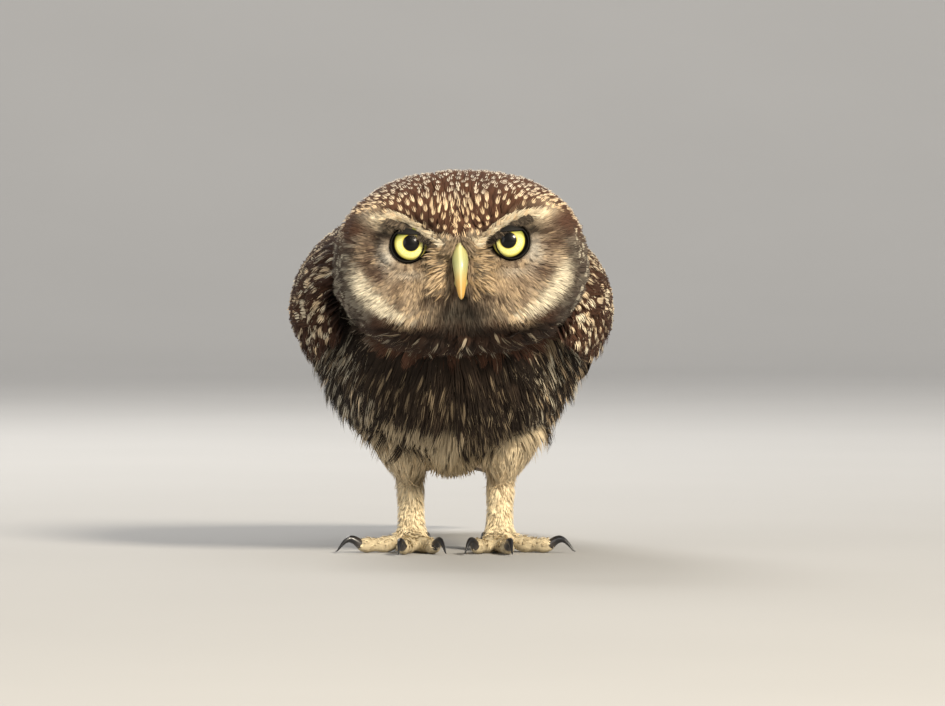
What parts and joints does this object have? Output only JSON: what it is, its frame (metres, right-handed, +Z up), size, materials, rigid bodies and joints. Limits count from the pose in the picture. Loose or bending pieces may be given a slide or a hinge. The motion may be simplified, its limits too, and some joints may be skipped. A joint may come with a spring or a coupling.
{
  "type": "little owl",
  "caption": "Life-size still model of a little owl standing with its body level and its head lowered, for display on a flat surface.",
  "frame": {"origin": "middle of the part's footprint, at the floor", "axes": "+Z up; -Y the way the owl faces; +X towards the owl's left side, the viewer's right"},
  "size_m": [0.0914, 0.2114, 0.105],
  "materials": {
    "body_feathers": "soft matte plumage, dark brown with buff and cream streaks",
    "face_feathers": "fine matte plumage, grey buff with pale brows and a dark spotted crown",
    "flight_feathers": "smooth matte vanes, dark brown with pale bars and spots",
    "leg_feathers": "short matte cream buff plumage",
    "toe_skin": "scaled skin with sparse bristles",
    "bill_horn": "smooth satin horn, greenish yellow",
    "claw_horn": "polished black horn",
    "eye": "wet gloss, lemon yellow iris with a black pupil"
  },
  "bodies": {
    "root": {"head": "face_feathers", "neck": "body_feathers", "torso": "body_feathers", "tail": "flight_feathers", "bill_upper": "bill_horn", "bill_lower": "bill_horn", "eye_right": "eye", "wing_right": "flight_feathers", "thigh_right": "leg_feathers", "shank_right": "leg_feathers", "toe_inner_right": "toe_skin", "claw_inner_right": "claw_horn", "toe_middle_right": "toe_skin", "claw_middle_right": "claw_horn", "toe_outer_right": "toe_skin", "claw_outer_right": "claw_horn", "toe_hind_right": "toe_skin", "claw_hind_right": "claw_horn", "eye_left": "eye", "wing_left": "flight_feathers", "thigh_left": "leg_feathers", "shank_left": "leg_feathers", "toe_inner_left": "toe_skin", "claw_inner_left": "claw_horn", "toe_middle_left": "toe_skin", "claw_middle_left": "claw_horn", "toe_outer_left": "toe_skin", "claw_outer_left": "claw_horn", "toe_hind_left": "toe_skin", "claw_hind_left": "claw_horn"}
  },
  "joints": []
}
